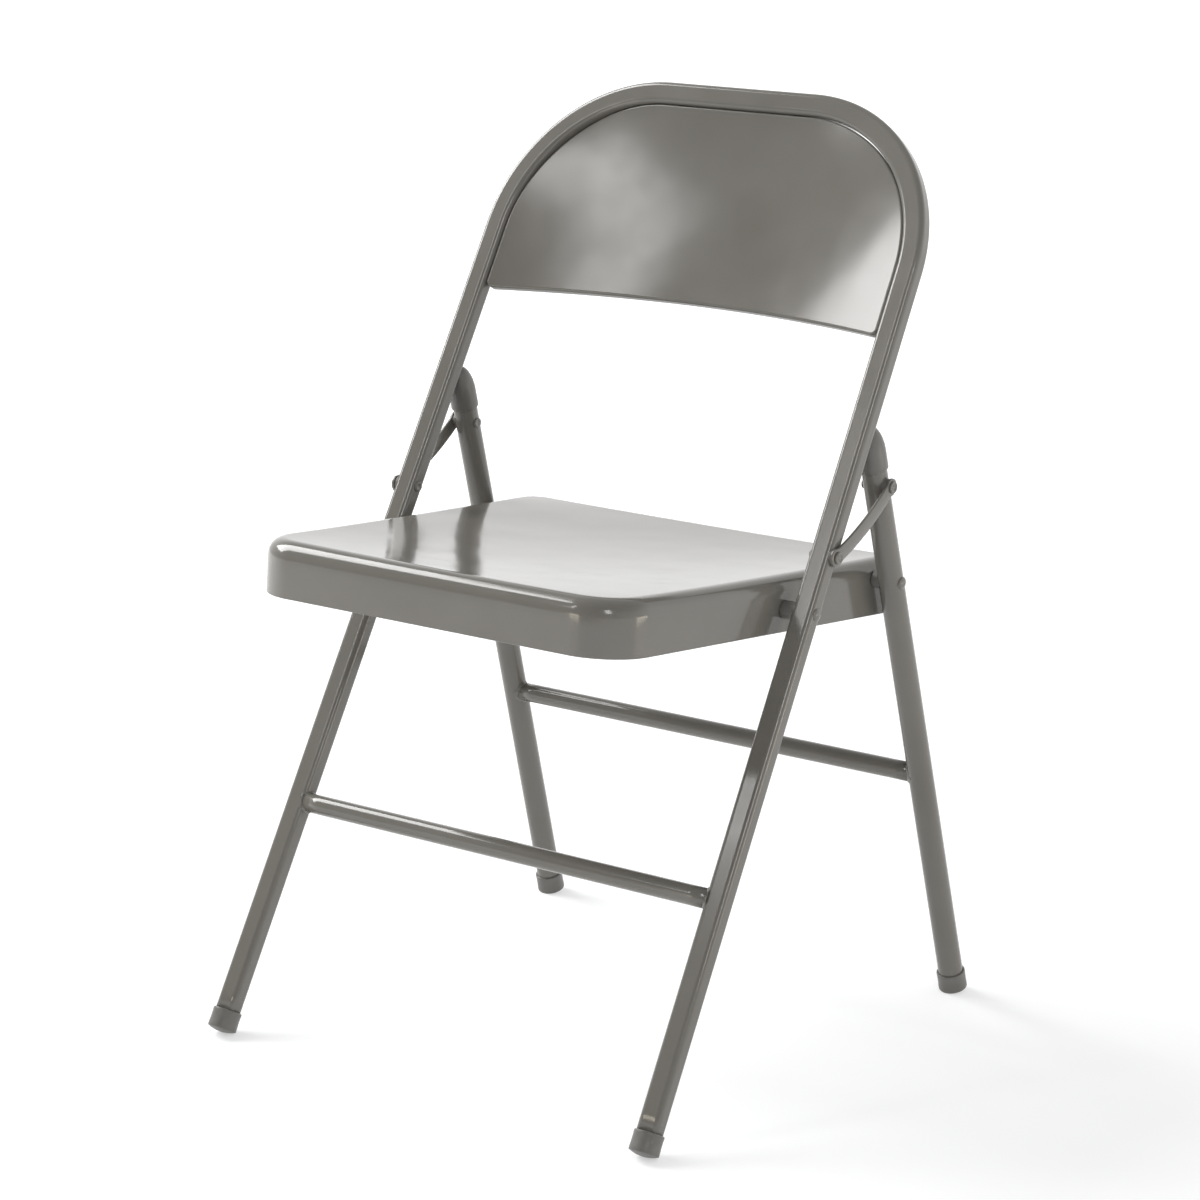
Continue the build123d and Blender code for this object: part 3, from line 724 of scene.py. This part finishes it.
def edge_mask(tree, radius, low, high):
    """1 on sharp edges and 0 on open faces, from how far a rounded normal turns."""
    bevel = tree.nodes.new("ShaderNodeBevel")
    bevel.samples = 6
    bevel.inputs["Radius"].default_value = radius
    geometry = tree.nodes.new("ShaderNodeNewGeometry")
    dot = tree.nodes.new("ShaderNodeVectorMath")
    dot.operation = "DOT_PRODUCT"
    tree.links.new(bevel.outputs["Normal"], dot.inputs[0])
    tree.links.new(geometry.outputs["Normal"], dot.inputs[1])
    return ranged(tree, dot.outputs["Value"], 1.0, 0.0, low, high)


def scaled(tree, first, second):
    node = tree.nodes.new("ShaderNodeMath")
    node.operation = "MULTIPLY"
    tree.links.new(first, node.inputs[0])
    tree.links.new(second, node.inputs[1])
    return node.outputs[0]


PAINT = (0.132, 0.125, 0.111)
PAINT_LIGHT = (0.150, 0.143, 0.128)
PRIMER = (0.30, 0.29, 0.27)


def enamel(name, roughness, wave_height, wave_scale=16.0, wear=0.0):
    """Semi-gloss enamel: faint colour drift, orange peel, long waves of the sheet and rubbed edges."""
    material, tree, shader = principled(name)
    drift = noise_node(tree, 9.0, 3.0)
    colour = mixed(tree, ranged(tree, drift, 0.0, 1.0), PAINT, PAINT_LIGHT)
    if wear:
        scuffs = ranged(tree, noise_node(tree, 700.0, 3.0), 0.0, 1.0, 0.45, 0.6)
        rubbed = scaled(tree, edge_mask(tree, 0.0006, 0.80, 0.97), scuffs)
        rubbed = ranged(tree, rubbed, 0.0, wear, 0.0, 1.0)
        colour = mixed(tree, rubbed, colour, PRIMER)
    tree.links.new(colour, shader.inputs["Base Color"])
    cloud = noise_node(tree, 26.0, 4.0, 0.6)
    tree.links.new(ranged(tree, cloud, roughness - 0.025, roughness + 0.03), shader.inputs["Roughness"])
    long_wave = bumped(tree, noise_node(tree, wave_scale, 1.0), wave_height)
    peel = bumped(tree, noise_node(tree, 520.0, 1.0), 0.000006, normal=long_wave)
    tree.links.new(peel, shader.inputs["Normal"])
    return material


def moulded(name, colour, roughness):
    """Matt moulded plastic: fine grain, cloudy sheen and pale scuffs."""
    material, tree, shader = principled(name)
    darker = tuple(part * 0.86 for part in colour)
    body = mixed(tree, ranged(tree, noise_node(tree, 60.0, 4.0), 0.0, 1.0), darker, colour)
    scuffs = ranged(tree, noise_node(tree, 240.0, 5.0, 0.7, (1, 1, 0.35)), 0.0, 0.35, 0.60, 0.72)
    pale = tuple(min(1.0, part * 1.7) for part in colour)
    tree.links.new(mixed(tree, scuffs, body, pale), shader.inputs["Base Color"])
    cloud = noise_node(tree, 90.0, 3.0)
    tree.links.new(ranged(tree, cloud, roughness - 0.06, roughness + 0.08), shader.inputs["Roughness"])
    skin = bumped(tree, noise_node(tree, 900.0, 2.0), 0.00003)
    tree.links.new(skin, shader.inputs["Normal"])
    return material


def dress(material, *pieces):
    for piece in pieces:
        piece.data.materials.clear()
        piece.data.materials.append(material)


tube_enamel = enamel("tube_enamel", 0.13, 0.00006)
sheet_enamel = enamel("sheet_enamel", 0.15, 0.0003)
seat_enamel = enamel("seat_enamel", 0.12, 0.0005, 12.0)
small_enamel = enamel("small_enamel", 0.22, 0.0001, 60.0, wear=0.8)
foot_plastic = moulded("foot_plastic", (0.132, 0.127, 0.118), 0.40)
spacer_plastic = moulded("spacer_plastic", (0.13, 0.125, 0.115), 0.5)

# ---------------------------------------------------------------- the chair
dress(tube_enamel, front_tube())
front_rail_half, rear_rail_half = frame_half(FRONT_RAIL_AT), legs_half(REAR_RAIL_AT)
front_face, rear_face = front_rail_half - TUBE_W / 2, rear_rail_half - LEG_R
dress(
    tube_enamel,
    rail_tube("front_rail_skin", "front_rail", "front_frame", FRAME, FRONT_RAIL_AT, front_face + 0.002),
    rail_tube("rear_rail_skin", "rear_rail", "rear_legs", LEGS, REAR_RAIL_AT, rear_face + 0.004),
    rail_welds("front_rail_beads", "front_rail_welds", "front_frame",
               FRAME, FRONT_RAIL_AT, front_face, True),
    rail_welds("rear_rail_beads", "rear_rail_welds", "rear_legs",
               LEGS, REAR_RAIL_AT, rear_face, False),
)
dress(seat_enamel, seat_pan())
dress(sheet_enamel, back_panel())
for name in ("seat_stiffener", "left_pivot_bracket", "right_pivot_bracket"):
    dress(sheet_enamel, frame["nodes"][name])
dress(tube_enamel, frame["nodes"]["back_panel_welds"])

rise_front, rise_rear = foot_rise(FRONT_LEAN), foot_rise(REAR_LEAN)
LINK_OUTER_X = LINK_INNER_X + LINK_T
A_FACE = frame_half(SEAT_PIVOT_AT) + TUBE_W / 2
B_FACE = legs_half(LEG_PIVOT_AT) + LEG_R
D_FACE = frame_half(LINK_PIVOT_AT) - TUBE_W / 2
C_FACE = legs_half(LEG_LINK_AT) - LEG_R
BRACKET_A = seat_half(SEAT_A.y) - SHEET - BRACKET_GAP - BRACKET_T
BRACKET_B = seat_half(SEAT_B.y) - SHEET - BRACKET_GAP - BRACKET_T


def feet(name, side):
    low, high = (FRAME @ Vector((side * frame_half(s), s, 0)) for s in (0, 0.1))
    node = f"{name}_front_foot"
    dress(foot_plastic, foot(f"{node}_skin", node, "front_frame", low, high, rise_front))
    low, high = (LEGS @ Vector((side * legs_half(t), t, 0)) for t in (0, 0.1))
    node = f"{name}_rear_foot"
    dress(foot_plastic, foot(f"{node}_skin", node, "rear_legs", low, high, rise_rear))


def rear_pivot(name, side):
    """Rivet and spacer that join the seat to a rear leg."""
    part = rivet(PIVOT_B, side, side * B_FACE, side * (BRACKET_B - SLIDE_GAP), "domed", 0.0025)
    node = f"{name}_rear_pivot_rivet"
    dress(small_enamel, add_piece(f"{node}_skin", *part, "rear_legs", [node], "rivet_steel"))
    part = spacer(PIVOT_B, side, seat_half(SEAT_B.y) + 0.0005, B_FACE - 2 * LEG_R + 0.0033, SPACER_R)
    node = f"{name}_rear_pivot_spacer"
    dress(spacer_plastic, add_piece(f"{node}_skin", *part, "rear_legs", [node], "spacer_plastic"))


def link(name, side):
    """Link plate, the rivet head that turns with it, and the tail and washer on the rear leg."""
    node = f"{name}_link"
    plate = link_plate() if side > 0 else mirrored(link_plate())
    dress(small_enamel, add_piece(f"{node}_plate", *plate, node, [node], "tube_paint"))
    node = f"{name}_link_rivet_head"
    head = [(0, 0), (RIVET_R, 0)] + [(r, h + LINK_T) for r, h in rivet_head("rolled")]
    part = placed(lathed(head, 36), along_x(side * LINK_INNER_X, side, PIVOT_C))
    dress(small_enamel, add_piece(f"{node}_skin", *part, f"{name}_link", [node], "rivet_steel"))
    node = f"{name}_link_rivet_tail"
    tail = rivet_tail(0.0005) + [(TAIL_R, 0.002), (0, 0.002)]
    part = placed(lathed(tail, 36), along_x(side * C_FACE, side, PIVOT_C))
    dress(small_enamel, add_piece(f"{node}_skin", *part, "rear_legs", [node], "rivet_steel"))
    node = f"{name}_link_washer"
    part = spacer(PIVOT_C, side, C_FACE + 2 * LEG_R - 0.003, LINK_INNER_X - SLIDE_GAP, LINK_END_R - 0.0014)
    dress(spacer_plastic, add_piece(f"{node}_skin", *part, "rear_legs", [node], "spacer_plastic"))


frame_pivots = {node: [] for node in
                ("seat_pivot_rivets", "seat_pivot_spacers", "link_pivot_rivets", "link_pivot_washers")}
for name, side in SIDES.items():
    feet(name, side)
    dress(foot_plastic, leg_cap(name, side))
    dress(tube_enamel, rear_leg(name, side))

    part = rivet(PIVOT_A, side, side * A_FACE, side * (BRACKET_A - SLIDE_GAP), "domed", 0.0015)
    frame_pivots["seat_pivot_rivets"].append(part)
    part = spacer(PIVOT_A, side, seat_half(SEAT_A.y) + 0.0005, A_FACE - TUBE_W + 0.003, SPACER_R)
    frame_pivots["seat_pivot_spacers"].append(part)
    part = rivet(PIVOT_D, side, side * (LINK_OUTER_X + SLIDE_GAP), side * D_FACE, "rolled")
    frame_pivots["link_pivot_rivets"].append(part)
    part = spacer(PIVOT_D, side, D_FACE + TUBE_W - 0.0025, LINK_INNER_X - SLIDE_GAP, LINK_END_R - 0.0008)
    frame_pivots["link_pivot_washers"].append(part)

    rear_pivot(name, side)
    link(name, side)

for node, parts in frame_pivots.items():
    steel = node.endswith("rivets")
    slot = "rivet_steel" if steel else "spacer_plastic"
    piece = add_piece(f"{node}_skin", *merged(*parts), "front_frame", [node], slot)
    dress(small_enamel if steel else spacer_plastic, piece)

# ---------------------------------------------------------------- camera
CAMERA_AT = Vector((1.772564, -2.354690, 1.145823))
CAMERA_YAW, CAMERA_PITCH, CAMERA_ROLL = (math.radians(a) for a in (-36.844, 14.752, -0.204))
camera_data = bpy.data.cameras.new("camera")
camera_data.sensor_width, camera_data.lens = 36.0, 108.42
camera = bpy.data.objects.new("camera", camera_data)
bpy.context.scene.collection.objects.link(camera)
ahead = Vector((
    math.sin(CAMERA_YAW) * math.cos(CAMERA_PITCH),
    math.cos(CAMERA_YAW) * math.cos(CAMERA_PITCH),
    -math.sin(CAMERA_PITCH),
))
level = Vector((math.cos(CAMERA_YAW), -math.sin(CAMERA_YAW), 0))
upright = level.cross(ahead)
across = level * math.cos(CAMERA_ROLL) + upright * math.sin(CAMERA_ROLL)
upward = upright * math.cos(CAMERA_ROLL) - level * math.sin(CAMERA_ROLL)
facing = Matrix((across, upward, -ahead)).transposed().to_4x4()
camera.matrix_world = Matrix.Translation(CAMERA_AT) @ facing
bpy.context.scene.camera = camera

# ---------------------------------------------------------------- studio
bpy.context.scene.view_settings.view_transform = "Standard"
bpy.context.scene.view_settings.look = "None"


def studio_world(front, back, shown, overhead):
    """Pale surroundings, brighter behind the chair than before it and darker overhead."""
    world = bpy.data.worlds.new("studio")
    world.use_nodes = True
    tree = world.node_tree
    tree.nodes.clear()
    place = tree.nodes.new("ShaderNodeTexCoord")
    split = tree.nodes.new("ShaderNodeSeparateXYZ")
    tree.links.new(place.outputs["Generated"], split.inputs["Vector"])
    around = ranged(tree, split.outputs["Y"], front, back, -0.8, 0.6)
    above = ranged(tree, split.outputs["Z"], 1.0, overhead, 0.30, 0.75)
    strength = scaled(tree, around, above)
    lit = tree.nodes.new("ShaderNodeBackground")
    tree.links.new(strength, lit.inputs["Strength"])
    lit.inputs["Color"].default_value = (1.0, 1.0, 1.0, 1)
    seen = tree.nodes.new("ShaderNodeBackground")
    seen.inputs["Color"].default_value = (1, 1, 1, 1)
    seen.inputs["Strength"].default_value = shown
    path = tree.nodes.new("ShaderNodeLightPath")
    mix = tree.nodes.new("ShaderNodeMixShader")
    tree.links.new(path.outputs["Is Camera Ray"], mix.inputs["Fac"])
    tree.links.new(lit.outputs["Background"], mix.inputs[1])
    tree.links.new(seen.outputs["Background"], mix.inputs[2])
    out = tree.nodes.new("ShaderNodeOutputWorld")
    tree.links.new(mix.outputs["Shader"], out.inputs["Surface"])
    bpy.context.scene.world = world


def softbox(name, azimuth, elevation, distance, width, height, radiance, target):
    """Rectangular light facing the target; azimuth 0 is in front of the chair, 90 on its right."""
    a, e = math.radians(azimuth), math.radians(elevation)
    away = Vector((math.sin(a) * math.cos(e), -math.cos(a) * math.cos(e), math.sin(e)))
    light = bpy.data.lights.new(name, "AREA")
    light.shape = "RECTANGLE"
    light.size, light.size_y = width, height
    light.energy = radiance * math.pi * width * height
    lamp = bpy.data.objects.new(name, light)
    lamp.location = target + away * distance
    lamp.rotation_mode = "QUATERNION"
    lamp.rotation_quaternion = (-away).to_track_quat("-Z", "Y")
    bpy.context.scene.collection.objects.link(lamp)
    return lamp


def floor():
    """Pale paper floor that glows, weakly near the chair and more strongly away from it, so that it meets
    the surroundings.
    """
    size = 9.0
    mesh = bpy.data.meshes.new("floor")
    corners = [(-size, -size, 0), (size, -size, 0), (size, size, 0), (-size, size, 0)]
    mesh.from_pydata(corners, [], [(0, 1, 2, 3)])
    ground = bpy.data.objects.new("floor", mesh)
    bpy.context.scene.collection.objects.link(ground)
    material, tree, shader = principled("floor_paper")
    shader.inputs["Roughness"].default_value = 0.9
    shader.inputs["Base Color"].default_value = (0.55, 0.555, 0.565, 1)
    shader.inputs["Specular IOR Level"].default_value = 0.1
    shader.inputs["Emission Color"].default_value = (1, 1, 1, 1)
    place = tree.nodes.new("ShaderNodeTexCoord")
    away = tree.nodes.new("ShaderNodeVectorMath")
    away.operation = "LENGTH"
    tree.links.new(place.outputs["Object"], away.inputs[0])
    # painted glow: the floor's emission rises from 0.48 near the chair to 0.84 far from it
    glow = ranged(tree, away.outputs["Value"], 0.48, 0.84, 0.7, 3.2)
    tree.links.new(glow, shader.inputs["Emission Strength"])
    dress(material, ground)


PANEL_MIDDLE = FRAME @ Vector((0, (PANEL_BOTTOM + FRAME_LENGTH) / 2, 0))
studio_world(0.30, 1.38, 1.05, 0.45)
floor()
softbox("window_left", -80.0, 36.0, 6.0, 3.4, 3.4, 11.0, PANEL_MIDDLE)
softbox("strip_front", -34.0, 35.5, 6.0, 0.62, 1.7, 8.0, PANEL_MIDDLE)
softbox("strip_right", 46.0, 32.0, 6.0, 1.0, 2.2, 9.0, PANEL_MIDDLE)
SEAT_CORNER = SEAT @ Vector((SEAT_HALF_FRONT, SEAT_FRONT, 0.02))
warm_front = softbox("lamp_low_front", -24.0, 1.2, 2.2, 0.80, 0.30, 5.5, SEAT_CORNER)
warm_right = softbox("lamp_low_right", 117.0, -7.2, 1.8, 0.85, 0.24, 4.5, SEAT_CORNER)
for lamp in (warm_front, warm_right):
    lamp.data.color = (1.0, 0.90, 0.72)
